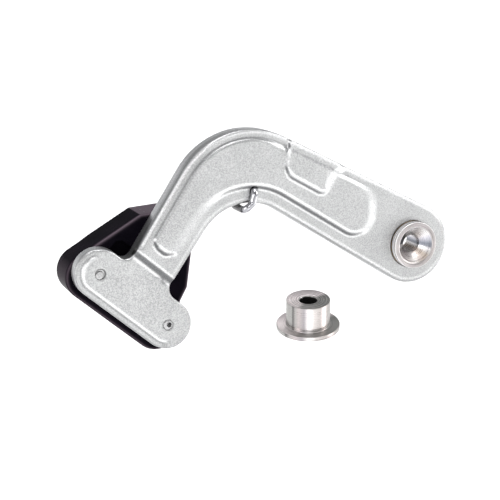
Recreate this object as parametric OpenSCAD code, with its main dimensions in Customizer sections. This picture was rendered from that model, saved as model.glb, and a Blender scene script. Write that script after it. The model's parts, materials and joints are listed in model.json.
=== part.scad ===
// Sprung belt tensioner: a cast boomerang arm that swings on a countersunk pivot bush,
// with a sliding plastic shoe on its T-shaped foot, a torsion spring behind the pivot
// and the loose flanged bush that carries the spring and spaces the arm off its mounting.
//
// The pivot axis lies along Y and passes through the origin. The arm lies in the XZ plane,
// its front face looks towards -Y, and the origin is in the middle of its thickness.

/* [Arm] */
// Thickness of the arm
arm_t = 7; // [6:0.5:8]
// Radius of the rounded pivot end
end_r = 14.6; // [14:0.1:15]
// Outer radius of the bend
bend_r = 28.4; // [27:0.1:29]
// Centre of the bend's outer arc, X
bend_x = -64.4; // [-66:0.1:-63]
// Centre of the bend's outer arc, Z
bend_z = 17; // [16:0.1:18]
// Inner radius of the bend
crook_r = 19; // [18:0.1:20]
// Centre of the bend's inner arc, X
crook_x = -64.9; // [-66:0.1:-64]
// Centre of the bend's inner arc, Z
crook_z = 1.1; // [0:0.1:2]
// Angle of the short limb's outer edge
limb_outer_angle = 57.1; // [56:0.1:58]
// Angle of the short limb's inner edge
limb_inner_angle = 55; // [54:0.1:56]

/* [Raised faces] */
// Height of the main panel above the flange
panel_h = 0.9; // [0.5:0.1:1.2]
// Height of the pad above the main panel
pad_h = 0.8; // [0.5:0.1:1]
// Width of the flange outside the main panel, along the outer edge
flange_outer = 2.7; // [2:0.1:3.5]
// Width of the flange outside the main panel, along the inner edge
flange_inner = 4.5; // [3.5:0.1:5]
// Depth of the recess in the rear face
rear_recess = 1.4; // [0.8:0.1:1.8]
// Width of the rear face left round the recess
rear_rim = 4.2; // [3.5:0.1:5]

/* [Foot] */
// Centre of the upper shoe pin, X
pin_x = -117.2; // [-118:0.1:-116]
// Centre of the upper shoe pin, Z
pin_z = -0.1; // [-1:0.1:1]
// Distance between the two shoe pins
pin_gap = 30.8; // [30:0.1:32]
// Angle of the line through the shoe pins
foot_angle = -40.9; // [-42:0.1:-40]
// Radius of the foot's round ends
foot_r = 8.5; // [8:0.1:9]
// Distance from the pins' line up to the step in the front face
step_at = 13.8; // [13:0.1:15]
// Drop of the foot's face below the limb's flange
foot_drop = 1.2; // [0.8:0.1:1.6]
// Width of the low flange round the foot's face
foot_flange = 1.6; // [1.2:0.1:2]
// Drop of the low flange below the foot's face
foot_flange_drop = 0.8; // [0.4:0.1:1]
// Radius of the fillet beside the upper lobe
upper_fillet = 3; // [2:0.5:4]
// Radius of the fillet beside the lower lobe
lower_fillet = 4.8; // [4:0.1:5.5]

/* [Shoe] */
// Width of the shoe, from the arm's rear face backwards
shoe_w = 14; // [12:0.5:16]
// Distance from the pins' line down to the wear face
wear_at = 11.1; // [10:0.1:12]
// Radius of the wear face's rounded ends
wear_end_r = 8.4; // [8:0.1:8.8]
// Height of the shoe above the pins' line
shoe_top = 31.5; // [30:0.5:33]
// Depth of the pocket in the shoe's front face
pocket_d = 3; // [2:0.5:4]

/* [Shoe pins] */
// Diameter of a shoe pin
pin_d = 3.8; // [3.5:0.1:4.2]
// Diameter of the hole in a hollow pin's end
pin_hole_d = 1.4; // [1:0.1:2]
// Diameter of a riveting washer
rivet_washer_d = 9; // [8:0.5:10]
// Thickness of a riveting washer
rivet_washer_t = 1; // [0.8:0.1:1.2]
// Diameter of the pin's closed rear head
rivet_head_d = 6; // [5.4:0.1:6.5]

/* [Pivot] */
// Diameter of the through hole for the mounting screw
screw_hole_d = 6.3; // [6.2:0.1:6.6]
// Diameter of the countersink at the front
countersink_d = 13.6; // [13:0.1:14]
// Diameter of the pivot bush's head
head_d = 17; // [17:0.1:19]
// Thickness of the pivot bush's head
head_h = 3; // [2.5:0.1:3.5]
// Diameter of the journal that the arm turns on
journal_d = 15; // [14.8:0.1:15.2]
// Wall of the bearing sleeve
sleeve_wall = 1; // [0.8:0.1:1.2]
// Radial running clearance of the journal in the sleeve
running_gap = 0.03; // [0.02:0.01:0.08]
// Clearance under the head and beside the thrust washer
side_gap = 0.1; // [0.05:0.01:0.2]

/* [Torsion spring] */
// Wire diameter
wire_d = 2.5; // [2.4:0.1:2.6]
// Mean diameter of the coil
coil_d = 19.4; // [19.2:0.1:19.8]
// Axial distance between turns
coil_pitch = 2.65; // [2.62:0.01:2.8]
// Bend radius of the wire's legs
wire_bend_r = 2.4; // [2:0.1:3]

/* [Flanged bush] */
// Diameter of the bush's body
bush_d = 15.9; // [15.6:0.1:16]
// Length of the body above the flange
bush_l = 9.5; // [9:0.1:10]
// Diameter of the flange
bush_flange_d = 23; // [22:0.1:24]
// Thickness of the flange
bush_flange_t = 1.6; // [1.4:0.1:2]
// Chamfer at the mouths of the hole
bush_chamfer = 0.5; // [0.3:0.1:0.7]

/* [Hidden] */
$fn = 96;

// Places along Y
front_y = -arm_t / 2;
rear_y = arm_t / 2;
panel_y = front_y - panel_h;
pad_y = panel_y - pad_h;
foot_y = front_y + foot_drop;
foot_flange_y = foot_y + foot_flange_drop;
head_y = front_y - side_gap;
thrust_washer_d = 21;
washer_t = 0.8;
washer_y = rear_y + side_gap;
groove_y = washer_y + washer_t;
ring_t = 1;
ring_d = 17.4;
ring_gap = 2;
ear_d = 3;
ear_hole_d = 1.3;
ear_at = [2.4, 8.7];
groove_w = ring_t + 0.1;
groove_d = journal_d - 1;
seat_y = groove_y + groove_w + 0.4;
shoe_y = rear_y + shoe_w;
pin_hole_l = 2.5;
rivet_head_h = 1.2;

// Half the length of a cut that goes right through
through = 20;

// Directions and centres in the arm's plane
bend_c = [bend_x, bend_z];
crook_c = [crook_x, crook_z];
upper_n = tangent_normal([0, 0], end_r, bend_c, bend_r, -1);
lower_n = tangent_normal([0, 0], end_r, crook_c, -crook_r, 1);
outer_n = [-sin(limb_outer_angle), cos(limb_outer_angle)];
inner_n = [sin(limb_inner_angle), -cos(limb_inner_angle)];
along = [cos(foot_angle), sin(foot_angle)];
across = [-sin(foot_angle), cos(foot_angle)];
pin_a = [pin_x, pin_z];
pin_b = pin_a + pin_gap * along;
pins_at = across * pin_a;
outer_at = outer_n * bend_c + bend_r;
inner_at = inner_n * crook_c - crook_r;

// The panel's rounded ends, and points of its bounds that lie off the arm
panel_end_low = [-25.5, 13.5];
panel_end_low_r = 8;
panel_end_high = [-23.5, 16.5];
panel_end_high_r = 7;
panel_foot_c = [-93.5, 9];
panel_foot_r = 4.5;
panel_heel_c = [-90.8, 7];
panel_heel_r = 2.6;
panel_beyond = [[-27.5, 27.4], [-40, 50], [-110, 60]];
inside_crook = [-60, 0];

// The pad's lower corners, its right side, and points above the arm
pad_low_c = [-47.6, 30.7];
pad_low_r = 4.6;
pad_tip_c = [-39.2, 25.9];
pad_tip_r = 3.9;
pad_side = [-33, 30];
pad_beyond = [[-31.6, 36], [-49.9, 44]];

// Where the rear recess ends, at the pivot and at the foot
recess_bounds = [[-21, 60], [-110, 60], [-101, 16], [-90.5, 7.5], [-84, 0], [-60, -10], [-21, -20]];

// The shoe's outline and its pocket, in the foot's plane
shoe_lean = 19.3;
shoe_tail = 45.6;
shoe_right = [[31.8, 9], [30.6, 14.5]];
shoe_left = [[0.5, 24]];
pocket_c = [2, 10.8];
pocket_r = 2.6;
pocket_low = 4;
pocket_right = 12.6;

// The spring's hook, in the arm's plane: round the crook's edge and into a hole
hook_under = [-66.6, 17.9];
hook_bend = [-63.7, 20.2];
hook_tip = [-62.6, 24.4];
hook_rear = [-64.2, 24.2];
hook_hole_d = wire_d + 0.9;
leg_y = rear_y + wire_d / 2 + 0.5;
hook_y = front_y - wire_d / 2 - 0.15;
coil_front_y = seat_y + wire_d / 2;
coil_turns = 2.5;
steps_per_turn = 24;
tang_l = 6;
leg_corner = hook_rear + [6, -3.3];
leg_bend_r = 0.8 * wire_bend_r;
tang_bend_r = 0.95 * wire_bend_r;

// The loose bush: where the middle of its flange's underside is, and its tilt
bush_at = [-38.7, 2.5, -28.7];
bush_tilt = [10, -5, 0];

// Unit normal of the line that touches two circles, on one side of the way from a to b.
// A negative radius puts the circle on the line's other side.
function tangent_normal(a, ra, b, rb, side) =
    let (way = (b - a) / norm(b - a), c = (ra - rb) / norm(b - a), s = side * sqrt(1 - c * c))
    [way.x * c - way.y * s, way.y * c + way.x * s];

// Where the lines n1 * p = d1 and n2 * p = d2 cross
function crossing(n1, d1, n2, d2) =
    let (det = n1.x * n2.y - n1.y * n2.x)
    [(d1 * n2.y - d2 * n1.y) / det, (n1.x * d2 - n2.x * d1) / det];

// The angle of a vector
function heading(v) = atan2(v.y, v.x);

// Extrudes a shape drawn in the XZ plane, from y_front back to y_rear
module slab(y_front, y_rear) {
    translate([0, y_rear, 0])
        rotate([90, 0, 0])
            linear_extrude(y_rear - y_front)
                children();
}

// A cylinder along Y, from y_front back to y_rear
module rod(d, y_front, y_rear) {
    translate([0, y_rear, 0])
        rotate([90, 0, 0])
            cylinder(d = d, h = y_rear - y_front);
}

// Places a shape drawn in the foot's own plane: X along the pins' line, Y up the limb
module on_foot() {
    translate(pin_a)
        rotate(foot_angle)
            children();
}

// Points of an arc about c, from one angle to another
function arc(c, r, from, to, steps) =
    [for (i = [0:steps])
        let (a = from + (to - from) * i / steps)
        c + r * [cos(a), sin(a)]];

// The outline's three stretches, pulled in by inset: round the pivot end and the bend,
// round the foot, and back along the crook
function back_points(inset) = concat(
    arc([0, 0], end_r - inset, heading(lower_n), heading(upper_n), 24),
    arc(bend_c, bend_r - inset, heading(upper_n), heading(outer_n), 16),
    [crossing(outer_n, outer_at - inset, across, pins_at + step_at)]);
function foot_points(inset) = concat(
    arc(fillet_c(outer_n, outer_at, upper_fillet), upper_fillet + inset,
        heading(-outer_n), heading(-across), 8),
    arc(pin_a, foot_r - inset, heading(across), heading(across) + 180, 20),
    arc(pin_b, foot_r - inset, heading(across) - 180, heading(across), 20),
    arc(fillet_c(inner_n, inner_at, lower_fillet), lower_fillet + inset,
        heading(-across), heading(-inner_n) - 360, 8));
function crook_points(inset) = concat(
    [crossing(inner_n, inner_at - inset, across, pins_at + step_at)],
    arc(crook_c, crook_r + inset, heading(-inner_n), heading(-lower_n), 16));

// Centre of the fillet between a limb's edge and the foot's upper edge
function fillet_c(n, at, r) = crossing(n, at + r, across, pins_at + foot_r + r);

// The arm's whole outline, with the foot
module outline_2d(inset = 0) {
    polygon(concat(back_points(inset), foot_points(inset), crook_points(inset)));
}

// Both limbs and the bend, down to the step above the foot
module limbs_2d(outer_inset = 0, inner_inset = 0) {
    lower_corner = outer_inset == inner_inset ? [] : [(end_r - inner_inset) * lower_n];
    polygon(concat(back_points(outer_inset), crook_points(inner_inset), lower_corner));
}

// The raised panel: a round end near the pivot and a round heel near the foot
module panel_2d() {
    intersection() {
        limbs_2d(flange_outer, flange_inner);
        polygon(concat([inside_crook],
                       arc(panel_end_low, panel_end_low_r, heading(lower_n), -20, 8),
                       arc(panel_end_high, panel_end_high_r, 0, 55, 6),
                       panel_beyond,
                       arc(panel_foot_c, panel_foot_r, 180, 270, 8),
                       arc(panel_heel_c, panel_heel_r, 270, 360, 6)));
    }
}

// The pad on the long limb's upper edge
module pad_2d() {
    intersection() {
        polygon(concat(pad_beyond,
                       arc(pad_low_c, pad_low_r, 180, heading(upper_n) + 180, 8),
                       arc(pad_tip_c, pad_tip_r, heading(upper_n) - 180, 0, 8),
                       [pad_side]));
        limbs_2d();
    }
}

// The shallow recess that lightens the arm's rear face
module rear_recess_2d() {
    intersection() {
        limbs_2d(rear_rim, rear_rim);
        polygon(recess_bounds);
    }
}

module arm() {
    color("gainsboro")
        difference() {
            union() {
                slab(foot_flange_y, rear_y)
                    outline_2d();
                slab(foot_y, 0)
                    outline_2d(foot_flange);
                slab(front_y, foot_flange_y)
                    limbs_2d();
                slab(panel_y, 0)
                    panel_2d();
                slab(pad_y, front_y)
                    pad_2d();
            }
            slab(rear_y - rear_recess, rear_y + 1)
                rear_recess_2d();
            rod(journal_d + 2 * sleeve_wall, -through, through);
            at_pins()
                rod(pin_d, -through, through);
            translate([hook_tip.x, 0, hook_tip.y])
                rod(hook_hole_d, -through, through);
        }
}

// Places a piece at each shoe pin
module at_pins() {
    for (i = [0, 1])
        at_pin(i)
            children();
}

module at_pin(i) {
    p = pin_a + i * pin_gap * along;
    translate([p.x, 0, p.y])
        children();
}

// Outline of the shoe: round ends to the wear face, and a block that narrows up the limb
module shoe_2d() {
    c = [0, wear_end_r - wear_at];
    on_foot()
        polygon(concat(arc(c, wear_end_r, 180 - shoe_lean, 270, 14),
                       arc(c + [pin_gap, 0], wear_end_r, 270, 360 + shoe_tail, 16),
                       shoe_right, [[19.5, shoe_top], [8, shoe_top]], shoe_left));
}

// The pocket beside the upper lobe, with one round corner
module pocket_2d() {
    on_foot()
        polygon(concat(arc(pocket_c, pocket_r, 90, 180, 6),
                       [[pocket_c.x - pocket_r, pocket_low], [pocket_right, pocket_low],
                        [pocket_right, pocket_c.y + pocket_r]]));
}

module shoe() {
    color("#17151a")
        difference() {
            slab(rear_y, shoe_y)
                shoe_2d();
            slab(rear_y - 1, rear_y + pocket_d)
                pocket_2d();
            at_pins()
                rod(pin_d, 0, 2 * through);
        }
}

// A hollow-ended rivet pin through the foot and the shoe
module shoe_pin(i, hole_offset) {
    head_at = shoe_y + rivet_washer_t;
    at_pin(i)
        difference() {
            union() {
                rod(pin_d, foot_y, head_at + rivet_head_h / 2);
                rod(rivet_head_d, head_at, head_at + rivet_head_h);
            }
            translate([hole_offset.x, 0, hole_offset.y])
                rod(pin_hole_d, foot_y - 1, foot_y + pin_hole_l);
        }
}

module shoe_pin_upper() {
    color("lightgrey")
        shoe_pin(0, [0.2, 0]);
}

module shoe_pin_lower() {
    color("lightgrey")
        shoe_pin(1, [0.3, 0.2]);
}

module rivet_washers() {
    color("silver")
        at_pins()
            difference() {
                rod(rivet_washer_d, shoe_y, shoe_y + rivet_washer_t);
                rod(pin_d, -through, 2 * through);
            }
}

module pivot_bush() {
    cone_l = (countersink_d - screw_hole_d) / 2;
    color("silver")
        difference() {
            union() {
                rod(head_d, head_y - head_h, head_y);
                rod(journal_d, head_y - 1, seat_y);
            }
            rod(screw_hole_d, -through, through);
            translate([0, head_y - head_h + cone_l, 0])
                rotate([90, 0, 0])
                    cylinder(d1 = screw_hole_d, d2 = countersink_d, h = cone_l);
            difference() {
                rod(journal_d + 2, groove_y, groove_y + groove_w);
                rod(groove_d, -through, through);
            }
        }
}

module bearing_sleeve() {
    color("peru")
        difference() {
            rod(journal_d + 2 * sleeve_wall, front_y, rear_y);
            rod(journal_d + 2 * running_gap, -through, through);
        }
}

module thrust_washer() {
    color("ivory")
        difference() {
            rod(thrust_washer_d, washer_y, washer_y + washer_t - 0.02);
            rod(journal_d + 2 * side_gap, -through, through);
        }
}

// An external ring that snaps into the journal's groove, with its gap and two ears
module retaining_ring() {
    ring_y = groove_y + (groove_w - ring_t) / 2;
    color("dimgray")
        difference() {
            union() {
                rod(ring_d, ring_y, ring_y + ring_t);
                for (side = [-1, 1])
                    translate([side * ear_at.x, 0, ear_at.y])
                        rod(ear_d, ring_y, ring_y + ring_t);
            }
            rod(groove_d, -through, through);
            translate([-ring_gap / 2, -through, 0])
                cube([ring_gap, 2 * through, ring_d]);
            for (side = [-1, 1])
                translate([side * ear_at.x, 0, ear_at.y])
                    rod(ear_hole_d, -through, through);
        }
}

// Rounds the corners of a chain of points with arcs of radius r
function unit(v) = v / norm(v);
function corner_arc(a, p, b, r, steps) =
    let (from = unit(a - p), to = unit(b - p), half = acos(from * to) / 2,
         c = p + unit(from + to) * r / sin(half), sweep = 180 - 2 * half,
         start = unit(p + from * r / tan(half) - c), finish = unit(p + to * r / tan(half) - c))
    [for (i = [0:steps])
        let (t = i / steps)
        c + r * (sin((1 - t) * sweep) * start + sin(t * sweep) * finish) / sin(sweep)];
function rounded(points, r, steps) =
    [for (i = [0:len(points) - 1])
        for (p = i == 0 || i == len(points) - 1 ? [points[i]]
             : corner_arc(points[i - 1], points[i], points[i + 1], r, steps)) p];

// A wire with a round section that follows a path
function path_ways(path) =
    [for (i = [0:len(path) - 1])
        unit(path[min(i + 1, len(path) - 1)] - path[max(i - 1, 0)])];
function carried(n, way) = unit(n - (n * way) * way);
function path_normals(ways, first) =
    [for (i = 0, n = carried(first, ways[0]); i < len(ways);
          i = i + 1, n = i < len(ways) ? carried(n, ways[i]) : n) n];

module wire(path, d, sides, first) {
    ways = path_ways(path);
    normals = path_normals(ways, first);
    points = [for (i = [0:len(path) - 1])
                 for (k = [0:sides - 1])
                     let (a = 360 * k / sides)
                     path[i] + d / 2 * (cos(a) * normals[i] + sin(a) * cross(ways[i], normals[i]))];
    last = len(path) - 1;
    polyhedron(points, concat(
        [[for (k = [0:sides - 1]) k]],
        [for (i = [0:last - 1])
            for (k = [0:sides - 1])
                let (m = (k + 1) % sides)
                [i * sides + k, (i + 1) * sides + k, (i + 1) * sides + m, i * sides + m]],
        [[for (k = [sides - 1:-1:0]) last * sides + k]]));
}

// The coil runs clockwise, seen from the front, from the rear tang to the long leg
module torsion_spring() {
    r = coil_d / 2;
    reach = norm(hook_rear);
    leave = atan2(hook_rear.y, hook_rear.x) + acos(r / reach);
    steps = steps_per_turn * coil_turns;
    coil = [for (i = [0:steps])
               let (back = coil_turns * (1 - i / steps), a = leave + 360 * back)
               [r * cos(a), coil_front_y + coil_pitch * back, r * sin(a)]];
    tang_corner = coil[0] - wire_bend_r * unit(coil[1] - coil[0]);
    tang = concat([tang_corner + [0, tang_l, 0]],
                  corner_arc(tang_corner + [0, tang_l, 0], tang_corner, coil[1], tang_bend_r, 5));
    hook = [[leg_corner.x, leg_y, leg_corner.y], [hook_rear.x, leg_y, hook_rear.y],
            [hook_under.x, leg_y, hook_under.y], [hook_under.x, hook_y, hook_under.y],
            [hook_bend.x, hook_y, hook_bend.y], [hook_tip.x, hook_y, hook_tip.y],
            [hook_tip.x, 0, hook_tip.y]];
    leg = rounded(concat([coil[steps]], hook), leg_bend_r, 5);
    path = concat(tang, [for (i = [1:steps - 1]) coil[i]], leg);
    color("lightsteelblue")
        wire(path, wire_d, 10, [0.3, 0, 1]);
}

module flanged_bush() {
    total = bush_flange_t + bush_l;
    chamfer_d = screw_hole_d + 2 * bush_chamfer;
    color("silver")
        translate(bush_at)
            rotate(bush_tilt)
                difference() {
                    union() {
                        cylinder(d = bush_flange_d, h = bush_flange_t);
                        cylinder(d = bush_d, h = total);
                    }
                    translate([0, 0, -1])
                        cylinder(d = screw_hole_d, h = total + 2);
                    translate([0, 0, total - bush_chamfer])
                        cylinder(d1 = screw_hole_d, d2 = chamfer_d, h = bush_chamfer);
                    cylinder(d1 = chamfer_d, d2 = screw_hole_d, h = bush_chamfer);
                }
}

arm();
shoe();
shoe_pin_upper();
shoe_pin_lower();
rivet_washers();
pivot_bush();
bearing_sleeve();
thrust_washer();
retaining_ring();
torsion_spring();
flanged_bush();
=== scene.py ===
"""Looks of the sprung belt tensioner arm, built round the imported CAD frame.

Sizes are in millimetres, in the CAD's frame: Y along the pivot axis, -Y out of the front face.
"""

import json
import math

import bpy
import numpy as np
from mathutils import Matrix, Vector


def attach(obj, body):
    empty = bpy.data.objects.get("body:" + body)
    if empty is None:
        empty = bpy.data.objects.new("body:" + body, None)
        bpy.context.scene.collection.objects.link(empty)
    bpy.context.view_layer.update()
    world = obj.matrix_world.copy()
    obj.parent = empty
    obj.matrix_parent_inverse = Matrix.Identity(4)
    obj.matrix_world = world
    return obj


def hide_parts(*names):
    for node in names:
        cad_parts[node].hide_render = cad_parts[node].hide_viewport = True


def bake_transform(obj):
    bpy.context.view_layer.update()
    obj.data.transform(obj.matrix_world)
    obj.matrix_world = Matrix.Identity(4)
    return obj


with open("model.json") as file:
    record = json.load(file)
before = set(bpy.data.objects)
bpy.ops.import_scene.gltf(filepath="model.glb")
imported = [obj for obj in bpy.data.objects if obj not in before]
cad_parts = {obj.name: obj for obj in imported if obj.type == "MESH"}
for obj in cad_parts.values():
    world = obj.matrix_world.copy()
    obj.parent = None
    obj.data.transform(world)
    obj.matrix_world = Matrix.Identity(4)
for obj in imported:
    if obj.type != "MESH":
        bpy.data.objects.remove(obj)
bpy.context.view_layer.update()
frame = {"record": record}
MM = 0.001

# ---------------------------------------------------------------- camera and studio

CAMERA_AT = (-227.9, -389.3, 104.2)
CAMERA_TARGET = (-64.1, -3.5, 3.6)
CAMERA_LENS = 90
SENSOR_W = 36
CLIP_END_M = 50
FLOOR_Z = -450
FLOOR_SIZE_M = 30
FLOOR_COLOUR = (0.93, 0.93, 0.93, 1)
SUN_DISTANCE = 1000
# Suns: name, direction they shine from, strength, degrees across.
SUNS = (
    ("right", (0.85, -0.4, 0.45), 1.8, 30),
    ("left", (-0.9, -0.35, 0.25), 1.1, 30),
    ("top", (0.0, -0.1, 1.0), 2.1, 40),
    ("by_camera", (-0.3, -0.9, 0.45), 0.35, 12),
)
# Softboxes: name, place, size in metres, watts.
SOFTBOXES = (
    ("low_right", (830, -450, -340), (0.5, 0.4), 2.4),
    ("low_front", (-5, -700, -400), (0.5, 0.25), 1.0),
)
# The surround's grey by height: 0 is the horizon and all below it, 1 is straight up.
SKY_LOW, SKY_TOP = (1.0, 1.0, 1.0, 1), (0.5, 0.5, 0.51, 1)
SKY = ((0.2, 0.98), (0.25, 0.72), (0.33, 0.7), (0.39, 0.14), (0.52, 0.14), (0.6, 0.6))
SKY_BLUE = 1.02


def aimed(obj, place, target):
    """Puts a camera or light at a place, looking at a target."""
    obj.location = Vector(place) * MM
    obj.rotation_euler = (Vector(target) - Vector(place)).to_track_quat("-Z", "Y").to_euler()
    bpy.context.scene.collection.objects.link(obj)
    return obj


def make_camera():
    """The camera of the main view, a little to the left of the part and above it."""
    data = bpy.data.cameras.new("camera")
    data.lens = CAMERA_LENS
    data.sensor_width = SENSOR_W
    data.clip_end = CLIP_END_M
    bpy.context.scene.camera = aimed(bpy.data.objects.new("camera", data), CAMERA_AT, CAMERA_TARGET)


def make_sun(name, toward, strength, angle):
    """A distant soft light that shines from a direction."""
    data = bpy.data.lights.new(name, "SUN")
    data.energy = strength
    data.angle = math.radians(angle)
    place = Vector(CAMERA_TARGET) + SUN_DISTANCE * Vector(toward)
    aimed(bpy.data.objects.new(name, data), place, CAMERA_TARGET)


def make_softbox(name, place, size, watts):
    """A rectangular soft light that the camera doesn't see."""
    data = bpy.data.lights.new(name, "AREA")
    data.shape = "RECTANGLE"
    data.size, data.size_y = size
    data.energy = watts
    aimed(bpy.data.objects.new(name, data), place, CAMERA_TARGET).visible_camera = False


def make_surround():
    """A world that is white up to just above the horizon, with a dark band higher up."""
    world = bpy.data.worlds.new("studio")
    world.use_nodes = True
    tree = world.node_tree
    way = tree.nodes.new("ShaderNodeTexCoord").outputs["Generated"]
    split = tree.nodes.new("ShaderNodeSeparateXYZ")
    level = tree.nodes.new("ShaderNodeValToRGB")
    level.color_ramp.elements[0].color = SKY_LOW
    level.color_ramp.elements[1].color = SKY_TOP
    for height, grey in SKY:
        level.color_ramp.elements.new(height).color = (grey, grey, SKY_BLUE * grey, 1)
    tree.links.new(way, split.inputs[0])
    tree.links.new(split.outputs[2], level.inputs[0])
    tree.links.new(level.outputs[0], tree.nodes["Background"].inputs["Color"])
    bpy.context.scene.world = world
    bpy.context.scene.view_settings.view_transform = "Standard"


def make_studio():
    """All that lights the part: the surround, the suns and the softboxes."""
    make_surround()
    for light in SUNS:
        make_sun(*light)
    for light in SOFTBOXES:
        make_softbox(*light)


def make_floor():
    """A wide pale floor, far enough below the part to take no shadow that the camera sees."""
    half = FLOOR_SIZE_M / 2
    mesh = bpy.data.meshes.new("floor")
    corners = [(x, y, FLOOR_Z * MM) for x, y in ((-half, -half), (half, -half), (half, half), (-half, half))]
    mesh.from_pydata(corners, [], [(0, 1, 2, 3)])
    floor = bpy.data.objects.new("floor", mesh)
    bpy.context.scene.collection.objects.link(floor)
    material = bpy.data.materials.new("floor")
    material.use_nodes = True
    shader = material.node_tree.nodes["Principled BSDF"]
    shader.inputs["Base Color"].default_value = FLOOR_COLOUR
    shader.inputs["Roughness"].default_value = 0.9
    shader.inputs["Specular IOR Level"].default_value = 0.1
    mesh.materials.append(material)


# ---------------------------------------------------------------- driving sizes

# The arm, its raised faces and its foot.
ARM_T = 7
FRONT_Y, REAR_Y = -ARM_T / 2, ARM_T / 2
END_R = 14.6
BEND_C, BEND_R = np.array([-64.4, 17]), 28.4
CROOK_C, CROOK_R = np.array([-64.9, 1.1]), 19
LIMB_OUTER_ANGLE, LIMB_INNER_ANGLE = 57.1, 55
PANEL_H, PAD_H = 0.9, 0.8
FLANGE_OUTER, FLANGE_INNER = 2.7, 4.5
REAR_RECESS, REAR_RIM = 1.4, 4.2
PIN_A, PIN_GAP, FOOT_ANGLE = np.array([-117.2, -0.1]), 30.8, -40.9
FOOT_R, STEP_AT = 8.5, 13.8
FOOT_DROP, FOOT_FLANGE_DROP = 1.2, 0.8
UPPER_FILLET, LOWER_FILLET = 3, 4.8

# The shoe, its pins and their washers.
SHOE_REAR_Y = REAR_Y + 14
WEAR_AT, WEAR_END_R, SHOE_TOP = 11.1, 8.4, 31.5
PIN_D, PIN_HEAD_D = 3.8, 6
WASHER_D, WASHER_T = 9, 1

# The pivot bush and what runs on it.
SLEEVE_OD = 17
HEAD_D, HEAD_REAR_Y, HEAD_H = 17, -3.6, 3
JOURNAL_D, SEAT_Y = 15, 5.9
SCREW_HOLE_D, COUNTERSINK_D = 6.3, 13.6
GROOVE_Y, GROOVE_W, GROOVE_D = 4.4, 1.1, 14
THRUST_WASHER_D, THRUST_WASHER_T, THRUST_WASHER_Y = 21, 0.78, REAR_Y + 0.1
RING_D, RING_T, RING_GAP = 17.4, 1, 2
EAR_D, EAR_HOLE_D, EAR_AT = 3, 1.3, (2.4, 8.7)

# The spring's wire. Places in the arm's plane are (X, Z).
WIRE_D, WIRE_BEND_R = 2.5, 2.4
COIL_D, COIL_PITCH, COIL_TURNS = 19.4, 2.65, 2.5
COIL_FRONT_Y = SEAT_Y + WIRE_D / 2
TANG_L = 6
HOOK_REAR, HOOK_UNDER, HOOK_BEND, HOOK_TIP = (-64.2, 24.2), (-66.6, 17.9), (-63.7, 20.2), (-62.6, 24.4)
LEG_Y, HOOK_Y = REAR_Y + WIRE_D / 2 + 0.5, FRONT_Y - WIRE_D / 2 - 0.15

# The loose flanged bush.
BUSH_D, BUSH_L, BUSH_CHAMFER = 15.9, 9.5, 0.5
BUSH_FLANGE_D, BUSH_FLANGE_T = 23, 1.6

# ---------------------------------------------------------------- plane geometry


def unit(v):
    """A vector's direction, as a vector of length 1."""
    v = np.asarray(v, float)
    return v / np.linalg.norm(v)


def direction(angle):
    """Unit vector at an angle in degrees from X."""
    return np.array([math.cos(math.radians(angle)), math.sin(math.radians(angle))])


def heading(v):
    """A vector's angle in degrees from X."""
    return math.degrees(math.atan2(v[1], v[0]))


def arc(c, r, start, stop, steps=32):
    """Points of an arc about c, from one angle to another."""
    return [np.asarray(c) + r * direction(a) for a in np.linspace(start, stop, steps + 1)]


def crossing(n1, d1, n2, d2):
    """Where the lines n1 * p = d1 and n2 * p = d2 cross."""
    return np.linalg.solve(np.array([n1, n2]), np.array([d1, d2]))


def tangent_normal(a, ra, b, rb, side):
    """Unit normal of the line that touches two circles. A negative radius is on its other side."""
    way, c = unit(b - a), (ra - rb) / np.linalg.norm(b - a)
    s = side * math.sqrt(1 - c * c)
    return np.array([way[0] * c - way[1] * s, way[1] * c + way[0] * s])


ORIGIN = np.zeros(2)
UPPER_N = tangent_normal(ORIGIN, END_R, BEND_C, BEND_R, -1)
LOWER_N = tangent_normal(ORIGIN, END_R, CROOK_C, -CROOK_R, 1)
OUTER_N = direction(LIMB_OUTER_ANGLE + 90)
INNER_N = direction(LIMB_INNER_ANGLE - 90)
ALONG, ACROSS = direction(FOOT_ANGLE), direction(FOOT_ANGLE + 90)
PIN_B = PIN_A + PIN_GAP * ALONG
PINS_AT = ACROSS @ PIN_A
OUTER_AT = OUTER_N @ BEND_C + BEND_R
INNER_AT = INNER_N @ CROOK_C - CROOK_R


def fillet_c(n, at, r):
    """Centre of the fillet between a limb's edge and the foot's upper edge."""
    return crossing(n, at + r, ACROSS, PINS_AT + FOOT_R + r)


def back_points(inset):
    """The arm's outline from the pivot end over the bend to the foot, set in from the edge."""
    return (arc(ORIGIN, END_R - inset, heading(LOWER_N), heading(UPPER_N), 60)
            + arc(BEND_C, BEND_R - inset, heading(UPPER_N), heading(OUTER_N), 40)
            + [crossing(OUTER_N, OUTER_AT - inset, ACROSS, PINS_AT + STEP_AT)])


def foot_points():
    """The foot's outline: its two lobes and the fillets to the limb."""
    upper_c = fillet_c(OUTER_N, OUTER_AT, UPPER_FILLET)
    lower_c = fillet_c(INNER_N, INNER_AT, LOWER_FILLET)
    return (arc(upper_c, UPPER_FILLET, heading(-OUTER_N), heading(-ACROSS), 12)
            + arc(PIN_A, FOOT_R, heading(ACROSS), heading(ACROSS) + 180)
            + arc(PIN_B, FOOT_R, heading(ACROSS) - 180, heading(ACROSS))
            + arc(lower_c, LOWER_FILLET, heading(-ACROSS), heading(-INNER_N) - 360, 12))


def crook_points(inset):
    """The arm's outline from the foot round the inside of the bend, set in from the edge."""
    return ([crossing(INNER_N, INNER_AT - inset, ACROSS, PINS_AT + STEP_AT)]
            + arc(CROOK_C, CROOK_R + inset, heading(-INNER_N), heading(-LOWER_N)))


def on_foot(points):
    """Points in the foot's plane, X along the pins' line and Y up the limb, moved to the arm's plane."""
    return [PIN_A + u * ALONG + v * ACROSS for u, v in points]


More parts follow.
